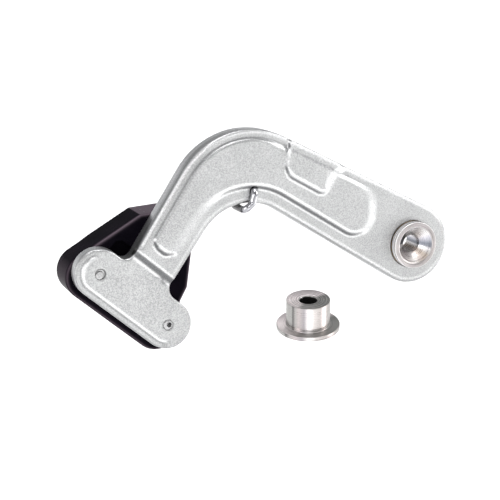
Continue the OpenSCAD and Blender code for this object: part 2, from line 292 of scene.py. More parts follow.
def distance(points, outline):
    """Signed distance from points to a closed outline, negative inside."""
    nearest = np.full(points.shape[:-1], np.inf)
    inside = np.zeros(points.shape[:-1], bool)
    for a, b in zip(outline, np.roll(outline, -1, axis=0)):
        edge = b - a
        if edge @ edge < 1e-12:
            continue
        way = points - a
        share = np.clip(way @ edge / (edge @ edge), 0, 1)
        nearest = np.minimum(nearest, ((way - share[..., None] * edge) ** 2).sum(-1))
        if edge[1] != 0:
            beside = way[..., 0] < way[..., 1] * edge[0] / edge[1]
            inside ^= beside & ((points[..., 1] < a[1]) != (points[..., 1] < b[1]))
    return np.where(inside, -1, 1) * np.sqrt(nearest)


def ramp(t):
    """0 up to t = 0, 1 from t = 1, smooth between."""
    t = np.clip(t, 0, 1)
    return t * t * (3 - 2 * t)


def rounding(depth, r):
    """How far a face falls away at a depth inside an edge rounded with radius r."""
    return r - np.sqrt(np.maximum(r * r - np.maximum(r - depth, 0) ** 2, 0))


def rounded(side, face, radius):
    """Field of a slab from the fields of its side and its faces, with the edges between them rounded."""
    side, face = side + radius, face + radius
    outside = np.hypot(np.maximum(side, 0), np.maximum(face, 0))
    return outside + np.minimum(np.maximum(side, face), 0) - radius


def columns(x, z):
    """The (X, Z) places of a grid's columns along Y."""
    return np.stack(np.broadcast_arrays(x[:, 0, :], z[0]), -1)


# ---------------------------------------------------------------- mesh building


def add_object(name, points, faces, material, body, slot, *nodes, base=None, axis=None):
    """Makes a smooth-shaded piece from points in millimetres, and ties it to the frame."""
    mesh = bpy.data.meshes.new(name)
    mesh.from_pydata((np.asarray(points) * MM).tolist(), [], faces)
    mesh.polygons.foreach_set("use_smooth", [True] * len(mesh.polygons))
    mesh.update()
    mesh.materials.append(material)
    obj = bpy.data.objects.new(name, mesh)
    bpy.context.scene.collection.objects.link(obj)
    if axis is not None:
        stand(obj, base, axis)
    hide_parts(*nodes)
    if body:
        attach(obj, body)
    return obj


def carry(obj, name, values):
    """Gives a piece's points a value that its material reads."""
    attribute = obj.data.attributes.new(name, "FLOAT", "POINT")
    attribute.data.foreach_set("value", values)


def crossed_edges(values, cells, axis):
    """Grid edges along an axis on which a field changes sign.

    Returns where they start, where the field is 0 on them, and whether it grows along them.
    """
    near = np.take(values, np.arange(cells[axis]), axis)
    far = np.take(values, np.arange(1, cells[axis] + 1), axis)
    at = np.stack(np.nonzero((near < 0) != (far < 0)), 1)
    u, w = (axis + 1) % 3, (axis + 2) % 3
    at = at[(at[:, u] > 0) & (at[:, u] < cells[u]) & (at[:, w] > 0) & (at[:, w] < cells[w])]
    start, stop = near[tuple(at.T)], far[tuple(at.T)]
    place = at.astype(float)
    place[:, axis] += start / (start - stop)
    return at, place, start < 0


def cells_round(at, cells, axis):
    """Numbers of the four cells round each grid edge along an axis, in order."""
    ring = []
    for du, dw in ((0, 0), (-1, 0), (-1, -1), (0, -1)):
        cell = at.copy()
        cell[:, (axis + 1) % 3] += du
        cell[:, (axis + 2) % 3] += dw
        ring.append(np.ravel_multi_index(tuple(cell.T), cells))
    return np.stack(ring, 1)


def contour(field, low, high, step):
    """Quads of the surface where a field changes sign, one point to each grid cell it crosses.

    The field takes the grid's three axes, shaped to combine, and is negative inside.
    """
    axes = [np.arange(a, b + step, step) for a, b in zip(low, high)]
    values = field(axes[0][:, None, None], axes[1][None, :, None], axes[2][None, None, :])
    cells = tuple(n - 1 for n in values.shape)
    sums = np.zeros((4, np.prod(cells)))
    rings = []
    for axis in range(3):
        at, place, grows = crossed_edges(values, cells, axis)
        ring = cells_round(at, cells, axis)
        for flat in ring.T:
            for k in range(3):
                sums[k] += np.bincount(flat, place[:, k], sums.shape[1])
            sums[3] += np.bincount(flat, minlength=sums.shape[1])
        rings.append(np.where(grows[:, None], ring, ring[:, ::-1]))
    used = np.nonzero(sums[3])[0]
    number = np.zeros(sums.shape[1], int)
    number[used] = np.arange(len(used))
    points = (sums[:3, used] / sums[3, used]).T * step + np.array(low)
    return points, number[np.concatenate(rings)].tolist()


def lathe(profile, sides=128):
    """Closed ring of profile points (radius, height) turned about Z."""
    profile = np.array(profile)
    angles = np.linspace(0, 2 * math.pi, sides, endpoint=False)
    points = [(r * math.cos(a), r * math.sin(a), h) for r, h in profile for a in angles]
    faces = []
    for i in range(len(profile)):
        j = (i + 1) % len(profile)
        for k in range(sides):
            m = (k + 1) % sides
            faces.append((i * sides + k, i * sides + m, j * sides + m, j * sides + k))
    return np.array(points), faces


def soft_corners(profile, radius, steps=5):
    """A closed profile with each corner replaced by a small arc."""
    out = []
    for i, p in enumerate(profile):
        before, after = np.array(profile[i - 1]), np.array(profile[(i + 1) % len(profile)])
        p = np.array(p)
        reach = min(radius, 0.45 * np.linalg.norm(before - p), 0.45 * np.linalg.norm(after - p))
        start, stop = p + reach * unit(before - p), p + reach * unit(after - p)
        for t in np.linspace(0, 1, steps):
            out.append((1 - t) ** 2 * start + 2 * t * (1 - t) * p + t * t * stop)
    return out


def stand(obj, base, axis):
    """Places a piece made about its own Z axis: its origin at base and its Z along axis."""
    obj.location = Vector(base) * MM
    obj.rotation_euler = Vector((0, 0, 1)).rotation_difference(Vector(axis)).to_euler()


def sweep(path, radius, sides=24):
    """A closed tube with a round section along a path."""
    path = np.array(path)
    ways = np.array([unit(v) for v in np.gradient(path, axis=0)])
    normal = unit(np.cross(ways[0], (0.3, 0.2, 1)))
    points, faces = [], []
    for place, way in zip(path, ways):
        normal = unit(normal - (normal @ way) * way)
        other = np.cross(way, normal)
        for a in np.linspace(0, 2 * math.pi, sides, endpoint=False):
            points.append(place + radius * (math.cos(a) * normal + math.sin(a) * other))
    for i in range(len(path) - 1):
        for k in range(sides):
            m = (k + 1) % sides
            faces.append((i * sides + k, i * sides + m, (i + 1) * sides + m, (i + 1) * sides + k))
    faces.append(tuple(range(sides - 1, -1, -1)))
    faces.append(tuple((len(path) - 1) * sides + k for k in range(sides)))
    return points, faces


# ---------------------------------------------------------------- materials

# Sockets of Blender's Mix node for colours.
MIX_FIRST, MIX_SECOND, MIX_RESULT = 6, 7, 2


class Nodes:
    """A material's node tree, with short calls for its nodes."""

    def __init__(self, name):
        self.material = bpy.data.materials.new(name)
        self.material.use_nodes = True
        self.tree = self.material.node_tree
        self.shader = self.tree.nodes["Principled BSDF"]
        where = self.tree.nodes.new("ShaderNodeTexCoord")
        self.place, self.normal = where.outputs["Object"], where.outputs["Normal"]

    def add(self, kind, inputs=(), **settings):
        node = self.tree.nodes.new("ShaderNode" + kind)
        for key, value in settings.items():
            setattr(node, key, value)
        for key, value in dict(inputs).items():
            self.put(node.inputs[key], value)
        return node

    def put(self, socket, value):
        if isinstance(value, bpy.types.NodeSocket):
            self.tree.links.new(value, socket)
        else:
            socket.default_value = value

    def set(self, **values):
        for key, value in values.items():
            self.put(self.shader.inputs[key.replace("_", " ")], value)

    def split(self, vector):
        """A vector's X, Y and Z."""
        return self.add("SeparateXYZ", {0: vector}).outputs

    def calc(self, how, *values):
        return self.add("Math", dict(enumerate(values)), operation=how).outputs[0]

    def mark(self, name):
        """A value that the mesh carries at its points."""
        return self.add("Attribute", attribute_name=name).outputs["Fac"]

    def noise(self, per_mm, detail):
        return self.add("TexNoise", {"Vector": self.place, "Scale": per_mm / MM, "Detail": detail}).outputs[0]

    def spread(self, value, low, high, from_low=0.3, from_high=0.7):
        """A value stretched from one range to another, and held inside it."""
        ranges = {"From Min": from_low, "From Max": from_high, "To Min": low, "To Max": high}
        return self.add("MapRange", {"Value": value, **ranges}).outputs[0]

    def mix(self, share, first, second, how="MIX"):
        node = self.add("Mix", data_type="RGBA", blend_type=how)
        self.put(node.inputs[0], share)
        self.put(node.inputs[MIX_FIRST], first)
        self.put(node.inputs[MIX_SECOND], second)
        return node.outputs[MIX_RESULT]

    def multiply(self, first, second):
        return self.mix(1, first, second, "MULTIPLY")

    def ramp(self, value, stops):
        """A colour that follows a value: stops are (place, red, green, blue), the two ends first."""
        node = self.add("ValToRGB", {0: value})
        for i, (place, *colour) in enumerate(stops):
            new = node.color_ramp.elements[i] if i < 2 else node.color_ramp.elements.new(place)
            new.position, new.color = place, (*colour, 1)
        return node.outputs[0]

    def bump(self, height, depth_mm, after=None):
        node = self.add("Bump", {"Height": height, "Strength": 1.0, "Distance": depth_mm * MM})
        if after is not None:
            self.put(node.inputs["Normal"], after)
        return node.outputs[0]


def grey(level):
    """A neutral colour, in the form that sockets take."""
    return (level, level, level, 1)


def shaded(colour, level=1):
    """A share of a colour, in the form that sockets take."""
    return tuple(level * c for c in colour) + (1,)


# Cast colours. The wall colour is painted light on the side walls, and the next two are painted shade and
# painted highlights.
CAST_DARK, CAST_PALE, WALL_PAINTED_LIGHT = (0.4, 0.403, 0.402, 1), (0.445, 0.448, 0.447, 1), (0.58, 0.585, 0.59, 1)
PAINTED_SHADE_COLOUR, PAINTED_GLINT, CAST_PIT = (0.15, 0.152, 0.155, 1), grey(0.95), (0.72, 0.723, 0.726, 1)
# Heights over which the painted shade low down turns to painted light upwards.
SHADE_LOW_Z, SHADE_HIGH_Z = -20, 35


def cast_aluminium():
    """Blasted die casting with painted light and shade: paler on its walls, darker low down and paler
    upwards. The mesh carries painted shade and painted highlights.
    """
    n = Nodes("cast_aluminium")
    grain, fine, cloud = n.noise(2.8, 3), n.noise(3.2, 2), n.noise(0.09, 2)
    colour = n.mix(n.spread(cloud, 0, 1), CAST_DARK, CAST_PALE)
    # Painted light: the side walls are paler than the front and rear faces.
    facing_front = n.calc("ABSOLUTE", n.split(n.normal)[1])
    colour = n.mix(n.spread(facing_front, 1, 0, 0.35, 0.75), colour, WALL_PAINTED_LIGHT)
    # Painted shade: darker low down, paler upwards.
    upwards = n.spread(n.split(n.place)[2], 0, 1, SHADE_LOW_Z * MM, SHADE_HIGH_Z * MM)
    colour = n.multiply(colour, n.mix(upwards, grey(0.9), grey(1.09)))
    # Painted shade and painted highlights that the mesh carries.
    colour = n.mix(n.mark("painted_shade"), colour, PAINTED_SHADE_COLOUR)
    colour = n.mix(n.mark("glint"), colour, PAINTED_GLINT)
    colour = n.multiply(colour, n.mix(n.spread(grain, 0, 1, 0.36, 0.64), grey(1.1), CAST_PIT))
    n.set(Base_Color=colour, Metallic=1.0, Roughness=n.spread(grain, 0.32, 0.44),
          Normal=n.bump(fine, 0.03, n.bump(grain, 0.06)))
    return n.material


NYLON_DARK, NYLON_PALE = (0.0025, 0.0022, 0.0036, 1), (0.005, 0.0038, 0.0065, 1)
# The colour of the painted sheen.
NYLON_PAINTED_SHEEN = (0.1, 0.078, 0.095, 1)


def black_nylon():
    """Moulded nylon: faint mould grain, with painted sheen on its marked edges, its upper end and its left
    end.
    """
    n = Nodes("black_nylon")
    grain, cloud = n.noise(2.2, 3), n.noise(0.12, 2)
    colour = n.mix(n.spread(cloud, 0, 1), NYLON_DARK, NYLON_PALE)
    x, _, z = n.split(n.normal)
    # Painted sheen: the left end, the upper end and the marked front edges are paler.
    left_end, upper_end = n.spread(x, 0.22, 0, -0.97, -0.75), n.spread(z, 0, 0.7, 0.93, 0.98)
    painted_sheen = n.calc("MAXIMUM", n.mark("painted_sheen"), n.calc("MAXIMUM", left_end, upper_end))
    n.set(Base_Color=n.mix(painted_sheen, colour, NYLON_PAINTED_SHEEN), Roughness=n.spread(cloud, 0.2, 0.3),
          Normal=n.bump(grain, 0.012))
    n.shader.inputs["Specular IOR Level"].default_value = 0.004
    return n.material


TURNED_COLOUR, TURNED_ROUGHNESS = (0.84, 0.82, 0.82), 0.26
BUSH_COLOUR, BUSH_ROUGHNESS, BUSH_BORE_SHADE = (0.84, 0.81, 0.8), 0.3, 0.05
RINGS_PER_MM = 2.4
# Painted rays on turned metal, which stand for the highlights that its tool rings smear out. They stay
# with the piece and don't follow the lights. Place as a part of a turn, red, green, blue; ends first.
PIVOT_SIDES = [
    (0.0, 0.22, 0.24, 0.28), (1.0, 0.22, 0.24, 0.28), (0.03, 0.24, 0.25, 0.28), (0.05, 0.8, 0.8, 0.82),
    (0.08, 0.7, 0.68, 0.66), (0.12, 0.58, 0.5, 0.43), (0.2, 0.55, 0.5, 0.47), (0.24, 0.95, 0.93, 0.9),
    (0.3, 0.6, 0.57, 0.55), (0.38, 0.5, 0.47, 0.47), (0.47, 0.4, 0.38, 0.38), (0.485, 1, 1, 1),
    (0.512, 1, 1, 1), (0.524, 0.12, 0.13, 0.16), (0.575, 0.12, 0.13, 0.15), (0.61, 0.17, 0.165, 0.145),
    (0.66, 0.85, 0.83, 0.82), (0.72, 0.9, 0.9, 0.9), (0.78, 0.6, 0.6, 0.6), (0.85, 0.75, 0.75, 0.74),
    (0.9, 0.95, 0.94, 0.95), (0.94, 0.65, 0.66, 0.72)]
PIVOT_FACES = [
    (0.0, 0.55, 0.52, 0.515), (1.0, 0.55, 0.52, 0.515), (0.06, 0.44, 0.42, 0.41), (0.2, 0.33, 0.315, 0.31),
    (0.28, 0.37, 0.35, 0.35), (0.34, 0.53, 0.51, 0.5), (0.4, 0.57, 0.55, 0.54), (0.45, 0.5, 0.48, 0.475),
    (0.5, 0.58, 0.56, 0.55), (0.56, 0.45, 0.43, 0.43), (0.7, 0.4, 0.38, 0.38), (0.84, 0.42, 0.4, 0.4),
    (0.9, 0.39, 0.37, 0.37), (0.95, 0.43, 0.41, 0.4)]
BUSH_SIDES = [
    (0.0, 0.5, 0.5, 0.5), (1.0, 0.5, 0.5, 0.5), (0.3, 0.5, 0.5, 0.5), (0.44, 0.42, 0.43, 0.42),
    (0.545, 0.45, 0.46, 0.45), (0.56, 0.15, 0.15, 0.15), (0.58, 0.48, 0.48, 0.47), (0.61, 0.6, 0.56, 0.56),
    (0.65, 0.42, 0.41, 0.43), (0.68, 0.95, 0.94, 0.95), (0.69, 0.95, 0.94, 0.95), (0.72, 0.48, 0.47, 0.46),
    (0.775, 0.4, 0.38, 0.37), (0.8, 0.72, 0.66, 0.64), (0.81, 0.72, 0.66, 0.64), (0.84, 0.38, 0.37, 0.36),
    (0.94, 0.42, 0.42, 0.41)]
BUSH_FACES = [
    (0.0, 0.3, 0.31, 0.3), (1.0, 0.3, 0.31, 0.3), (0.05, 0.9, 0.86, 0.87), (0.2, 0.95, 0.9, 0.92),
    (0.45, 1.0, 0.95, 0.96), (0.58, 0.9, 0.86, 0.86), (0.63, 0.4, 0.4, 0.39), (0.9, 0.3, 0.31, 0.3)]


def part_of_turn(n):
    """Angle round a piece's own Z axis, 0 to 1."""
    x, y, _ = n.split(n.place)
    angle = n.calc("ARCTAN2", y, x)
    turns = {"Value": angle, "From Min": 0, "From Max": 2 * math.pi}
    return n.calc("WRAP", n.add("MapRange", turns, clamp=False).outputs[0], 0.0, 1.0)


def turned_metal(name, colour, roughness, bore_shade, bright_rim, sides, faces):
    """Bright turned metal, with the tool's rings round the piece's own Z axis and painted rays of highlight
    and shade across them.

    sides and faces are the painted rays' colours. A bore shade is the bore's share of the colour, a painted
    shade.
    A bright rim leaves the painted rays out from just inside the edge of the pivot bush's head.
    """
    n = Nodes(name)
    flat = n.add("VectorMath", {0: n.place, 1: (1, 1, 0)}, operation="MULTIPLY").outputs[0]
    radius = n.add("VectorMath", {0: flat}, operation="LENGTH").outputs["Value"]
    across = n.add("CombineXYZ", {0: radius, 1: n.split(n.place)[2]}).outputs[0]
    fine = n.add("TexNoise", {"Vector": across, "Scale": RINGS_PER_MM / MM, "Detail": 2}).outputs[0]
    share = part_of_turn(n)
    facing_end = n.calc("ABSOLUTE", n.split(n.normal)[2])
    rays = n.mix(n.spread(facing_end, 0, 1, 0.75, 0.95), n.ramp(share, sides), n.ramp(share, faces))
    if bright_rim:
        rim = n.spread(radius, 0, 1, (HEAD_D / 2 - 0.2) * MM, (HEAD_D / 2 - 0.1) * MM)
        rays = n.mix(rim, rays, grey(1.0))
    tint = n.mix(n.spread(fine, 0.25, 0), grey(1), grey(0.5))
    tint = n.multiply(n.multiply(tint, rays), shaded(colour))
    # Painted shade in the bore.
    if bore_shade:
        bore = n.spread(radius, 1, 0, (SCREW_HOLE_D / 2 + 0.02) * MM, (SCREW_HOLE_D / 2 + 0.15) * MM)
        tint = n.mix(bore, tint, shaded(colour, bore_shade))
    n.set(Base_Color=tint, Metallic=0.8, Roughness=n.spread(fine, roughness * 0.7, roughness * 1.4),
          Anisotropic=0.85, Normal=n.bump(fine, 0.02))
    n.put(n.shader.inputs["Tangent"], n.add("Tangent", direction_type="RADIAL", axis="Z").outputs[0])
    return n.material


def plain_metal(name, colour, roughness, grain_mm, depth_mm):
    """Metal with a fine even grain: plated, phosphated or sintered."""
    n = Nodes(name)
    grain = n.noise(1 / grain_mm, 3)
    tint = n.mix(n.spread(grain, 0, 1), shaded(colour, 0.82), shaded(colour))
    n.set(Base_Color=tint, Metallic=1.0, Roughness=n.spread(grain, roughness * 0.8, roughness * 1.25),
          Normal=n.bump(grain, depth_mm))
    return n.material


# Wire tones, and the painted shade on the stretch under the crook.
WIRE_DARK, WIRE_PALE, WIRE_PAINTED_SHADE = (0.34, 0.34, 0.36, 1), (0.42, 0.42, 0.44, 1), (0.03, 0.028, 0.03, 1)
SHADE_FROM_X, SHADE_TO_X = -64.5, -63


def spring_wire():
    """Bright drawn wire, with painted shade where it runs under the crook."""
    n = Nodes("spring_wire")
    grain = n.noise(1.7, 3)
    colour = n.mix(n.spread(grain, 0, 1), WIRE_DARK, WIRE_PALE)
    x, y, _ = n.split(n.place)
    # Painted shade: the wire under the crook is dark and not metallic.
    behind = n.spread(y, 0, 1, (HOOK_Y + 0.4) * MM, (HOOK_Y + 2) * MM)
    crook_shade = n.calc("MULTIPLY", behind, n.spread(x, 1, 0, SHADE_FROM_X * MM, SHADE_TO_X * MM))
    n.set(Base_Color=n.mix(crook_shade, colour, WIRE_PAINTED_SHADE), Metallic=n.spread(crook_shade, 1, 0),
          Roughness=n.spread(grain, 0.1, 0.16), Normal=n.bump(grain, 0.003))
    return n.material


def natural_nylon():
    """Undyed nylon, slightly cloudy."""
    n = Nodes("washer_nylon")
    cloud = n.noise(0.4, 3)
    colour = n.mix(n.spread(cloud, 0, 1), (0.66, 0.62, 0.54, 1), (0.78, 0.75, 0.68, 1))
    n.set(Base_Color=colour, Roughness=n.spread(cloud, 0.4, 0.55), Normal=n.bump(cloud, 0.02))
    return n.material


# ---------------------------------------------------------------- the arm

ARM_STEP = 0.36
EDGE_R, OUTER_EDGE_R, REAR_EDGE_R = 0.7, 2.0, 0.5
HOOK_HOLE_R = WIRE_D / 2 + 0.15
RECESS_SLOPE = 1.2
# Walls of raised faces: lengths of the hollow at the foot, the straight stretch and the crown.
SHARP, ROUND, GENTLE = (0.35, 0.3, 0.6), (0.8, 0.35, 1.8), (1.8, 1.4, 2.0)
CRISP_WAY = (-0.5, 0.866)
# How far the panel's gentle right end reaches past its outline.
PANEL_BEYOND = 1.6
# The step down to the foot: how far above its line it starts, and its wall.
STEP_ABOVE, STEP_SLOPE = 0.5, (1.0, 1.5, 1.2)
BLEMISH_AT, BLEMISH_DEPTH = np.array([-95.6, -4.2]), 0.15
# The sunk rim along the foot's left edge: its width, its wall, and how far above the pins it ends.
RIM_OUT, RIM_SLOPE, RIM_TOP = 1.7, (0.3, 0.3, 0.5), 7
# The panel's heel: how far above the pins' line it ends, and its corners.
HEEL_AT, HEEL_R = 17.1, 4.2
PANEL_END, PANEL_LOWER_R, PANEL_UPPER_R = -15.8, 8, 9

# Painted shade and painted highlights, which stay with the arm as well. A wall that rises in this direction
# gets painted shade, and a painted highlight where it rises only slightly.
TILT_X, TILT_Z = 0.55, 0.83
SHADE_FROM, SHADE_SPAN = 0.3, 0.18
PANEL_LINE, PAD_LINE = 0.85, 0.75
# Painted highlights by the rise in that direction, which is negative where the wall falls: strength, rise,
# width.
NEAR_GLINT, FAR_GLINT = (0.8, 0.17, 0.07), (0.12, -0.3, 0.12)
# Painted shade and highlight lines along the arm's edge: strength, how far inside the edge, width.
OUTLINE_SHADE, TOP_GLINT = (0.3, 0.1, 0.25), (0.8, 0.85, 0.3)
UNDER_SHADE, UNDER_GLINT = (0.25, 0.5, 0.4), (0.5, 1.5, 0.25)
RIM_SHADE, RIM_GLINT = (0.45, RIM_OUT + 0.2, 0.3), (0.8, RIM_OUT + 0.95, 0.36)


def places(*pairs):
    """Corners of an outline, in the arm's plane."""
    return [np.array(p, float) for p in pairs]


def panel_bounds():
    """The panel's ends and its rounded heel over the step. The limb's edges bound the rest of it."""
    lower_c = crossing((1, 0), PANEL_END - PANEL_LOWER_R, LOWER_N, END_R - FLANGE_INNER - PANEL_LOWER_R)
    upper_c = crossing((1, 0), PANEL_END - PANEL_UPPER_R, UPPER_N, END_R - FLANGE_OUTER - PANEL_UPPER_R)
    heel_line = PINS_AT + HEEL_AT + HEEL_R
    outer_c = crossing(OUTER_N, OUTER_AT - FLANGE_OUTER - HEEL_R, ACROSS, heel_line)
    inner_c = crossing(INNER_N, INNER_AT - FLANGE_INNER - HEEL_R, ACROSS, heel_line)
    return (arc(lower_c, PANEL_LOWER_R, heading(LOWER_N), 0)
            + arc(upper_c, PANEL_UPPER_R, 0, heading(UPPER_N))
            + places((-30, 50), (-110, 60))
            + arc(outer_c, HEEL_R, heading(OUTER_N), heading(ACROSS) + 180)
            + arc(inner_c, HEEL_R, heading(ACROSS) + 180, heading(INNER_N) + 360)
            + places((-60, -6)))


PANEL_BOUNDS = panel_bounds()
PAD_BOUNDS = (places((-31.5, 25.8), (-27.0, 29.2), (-26.0, 36.0), (-49.6, 44.0))
              + arc((-46.4, 31.4), 5.4, 170, heading(UPPER_N) + 180)
              + arc((-37.0, 25.6), 5, heading(UPPER_N) - 180, -25))
RECESS_BOUNDS = places((-21, 60), (-110, 60), (-101, 16), (-90.5, 7.5), (-84, 0), (-60, -10), (-21, -20))


def limbs(outer_inset, inner_inset):
    """Outline of both limbs, set in from their edges."""
    return back_points(outer_inset) + crook_points(inner_inset) + [(END_R - inner_inset) * LOWER_N]


def facing(gap, step):
    """Direction in which a distance field grows: its X part is 1 where its boundary faces right."""
    gx, gz = np.gradient(gap, step)
    size = np.maximum(np.hypot(gx, gz), 1e-9)
    return gx / size, gz / size


def slope(gap, hollow, straight, crown):
    """Share of a wall's height at a distance past its foot: a hollow, a straight stretch and a crown."""
    a, b = np.clip(gap, 0, hollow), np.clip(gap - hollow, 0, straight)
    c = np.clip(gap - hollow - straight, 0, crown)
    return (a * a / (2 * hollow) + b + c - c * c / (2 * crown)) / (hollow / 2 + straight + crown / 2)


def bell(away, width):
    """1 at a line, falling to 0 on both sides of it."""
    return np.exp(-(away / width) ** 2)


def line_at(value, strength, place, width):
    """A soft line where a value passes a place."""
    return strength * bell(value - place, width)


def relief(gap, beyond, step):
    """A raised face: crisp where its edge faces up and left, gentle on the right, round elsewhere.

    Returns its share of the height, and how much of a painted shade line its crisp edge has.
    """
    turn, rise = facing(gap, step)
    right = ramp((turn - 0.3) / 0.5)
    crisp = ramp((CRISP_WAY[1] * rise + CRISP_WAY[0] * turn) / 0.8) * (1 - right)
    shape = [(1 - right) * ((1 - crisp) * r + crisp * s) + right * g for r, s, g in zip(ROUND, SHARP, GENTLE)]
    return slope(right * beyond - gap, *shape), crisp * bell(gap + 0.3, 0.36)


def raised_faces(plane):
    """Height of the panel and the pad on it over the arm's flat face, and their painted shade lines."""
    panel = np.maximum(distance(plane, limbs(FLANGE_OUTER, FLANGE_INNER)), distance(plane, PANEL_BOUNDS))
    share, panel_line = relief(panel, PANEL_BEYOND, ARM_STEP)
    height = PANEL_H * share
    share, pad_line = relief(distance(plane, PAD_BOUNDS), 0, ARM_STEP)
    return height + (PANEL_H + PAD_H - height) * share, panel_line, pad_line


def blemish(plane):
    """A wavy dented spot in the foot, below its step."""
    away = plane - BLEMISH_AT
    return bell(away @ ALONG, 2.3) * bell(away @ ACROSS + 0.4 * np.sin(2.2 * away @ ALONG), 0.5)


def front_face(plane, edge):
    """Height of the arm's front over its flat face, and the painted shade and painted highlights it carries.

    Shares from 0 to 1 say where on the arm a place is: top and under are the limb's edges that face
    up and down, and rim_side is the foot's left edge, up to RIM_TOP.
    """
    limb_height, panel_line, pad_line = raised_faces(plane)
    below_step = PINS_AT + STEP_AT - plane @ ACROSS
    on_foot_share = slope(below_step + STEP_ABOVE, *STEP_SLOPE)
    on_limb = 1 - ramp(below_step / 2 + 1)
    turn, rise = facing(edge, ARM_STEP)
    top, under = [ramp((side - 0.3) / 0.4) * on_limb for side in (rise, -rise)]
    rim_side = ramp(-turn / 0.3) * ramp((below_step - STEP_AT + RIM_TOP) / 1.5)
    rim = rim_side * (1 - slope(-edge - RIM_OUT, *RIM_SLOPE))
    dent = blemish(plane)

    gx, gz = np.gradient(limb_height * (1 - on_foot_share) - FOOT_DROP * on_foot_share, ARM_STEP)
    tilt = TILT_X * gx + TILT_Z * gz
    # Painted shade: walls facing away from the light, dark lines at the reliefs' edges and along the outline,
    # and the dent.
    painted_shade = np.maximum.reduce([
        ramp((tilt - SHADE_FROM) / SHADE_SPAN),
        PANEL_LINE * panel_line * (1 - ramp(below_step + 1)),
        PAD_LINE * pad_line,
        dent,
        rim_side * line_at(-edge, *RIM_SHADE),
        (1 + top) * line_at(-edge, *OUTLINE_SHADE),
        under * line_at(-edge, *UNDER_SHADE)])
    # Painted highlights on the reliefs' crowns and along the edges.
    glint = (1 - dent) * np.maximum.reduce([
        line_at(tilt, *NEAR_GLINT),
        line_at(tilt, *FAR_GLINT) * ramp(-gx / 0.3),
        rim_side * line_at(-edge, *RIM_GLINT),
        top * line_at(-edge, *TOP_GLINT),
        under * line_at(-edge, *UNDER_GLINT)])

    foot_height = -FOOT_DROP - FOOT_FLANGE_DROP * rim
    height = limb_height * (1 - on_foot_share) + foot_height * on_foot_share - BLEMISH_DEPTH * dent
    radius = EDGE_R + (OUTER_EDGE_R - EDGE_R) * ramp((-turn - 0.2) / 0.6) * on_limb
    return height - rounding(-edge, radius), {"painted_shade": painted_shade, "glint": glint}


def cut_holes(plane, edge):
    """The outline's field with the bore, the hook's hole and the pins' holes cut in it."""
    holes = ((ORIGIN, SLEEVE_OD / 2), (HOOK_TIP, HOOK_HOLE_R), (PIN_A, PIN_D / 2), (PIN_B, PIN_D / 2))
    return np.maximum.reduce(
        [edge] + [r - np.hypot(plane[..., 0] - at[0], plane[..., 1] - at[1]) for at, r in holes])


def sampled(grid, at):
    """A grid's values at places between its points, in steps of the grid."""
    (i, k), (u, w) = np.floor(at).astype(int).T, (at - np.floor(at)).T
    return ((1 - u) * ((1 - w) * grid[i, k] + w * grid[i, k + 1])
            + u * ((1 - w) * grid[i + 1, k] + w * grid[i + 1, k + 1]))


def make_arm(material):
    """The cast arm with its relief, its recessed rear and its holes, and the painted shade and highlights on
    its front.
    """
    outline = back_points(0) + foot_points() + crook_points(0)
    low2, high2 = np.min(outline, 0) - 1, np.max(outline, 0) + 1
    low = (low2[0], FRONT_Y - PANEL_H - PAD_H - 1, low2[1])
    high = (high2[0], REAR_Y + 1, high2[1])
    marks = {}

    def field(x, y, z):
        plane = columns(x, z)
        edge = distance(plane, outline)
        recess = np.maximum(distance(plane, limbs(REAR_RIM, REAR_RIM)), distance(plane, RECESS_BOUNDS))
        height, found = front_face(plane, edge)
        marks.update(found)
        edge = cut_holes(plane, edge)
        front = FRONT_Y - height
        rear = REAR_Y - REAR_RECESS * ramp(-recess / RECESS_SLOPE) - rounding(-edge, REAR_EDGE_R)
        return np.maximum(np.maximum(edge[:, None, :], front[:, None, :] - y), y - rear[:, None, :])

    points, faces = contour(field, low, high, ARM_STEP)
    arm = add_object("cast_arm", points, faces, material, "swing_arm", "cast_aluminium", "arm")
    at = (points[:, [0, 2]] - low2) / ARM_STEP
    in_front = points[:, 1] < 0
    # Painted shade and painted highlights, carried on the front only.
    for name, grid in marks.items():
        carry(arm, name, sampled(grid, at) * in_front)


# ---------------------------------------------------------------- the shoe and its pins

SHOE_STEP = 0.4
SHOE_EDGE_R, SHOE_TOP_EDGE_LESS = 1.5, 0.9
WEAR_START, WEAR_STOP = 180 - 19.3, 360 + 45.6
SHEEN_W = 0.6
# Places in the foot's plane: X along the pins' line from the upper pin, Y up the limb.
SHOE_CORNERS = [(31.8, 9), (30.6, 14.5), (19.5, SHOE_TOP), (8, SHOE_TOP), (0.5, 24)]
POCKET_CORNERS = [(-0.6, 4), (12.6, 4), (12.6, 13.4)]
POCKET_C, POCKET_R, POCKET_DEPTH = (2, 10.8), 2.6, 3

PIN_STEP = 0.14
PIN_END_R = 0.35
PIN_HEAD_H, PIN_HEAD_EDGE_R = 1.2, 0.5
PIN_WALL, PIN_GROOVE_DEPTH, PIN_GROOVE_SLOPE = 0.3, 0.7, 0.25
PIN_CUT_SLOPE = 0.2
UPPER_PIN_CUTS = dict(boss_at=(-0.3, -0.3), boss_r=1.2, hole_at=(0.9, 0.1), hole_r=0.2, hole_depth=0.3)
LOWER_PIN_CUTS = dict(boss_at=(0, 0), boss_r=1.5, hole_at=(0.4, 0.1), hole_r=0.85, hole_depth=2.4)
WASHER_EDGE_R, WASHER_SIDES = 0.2, 64


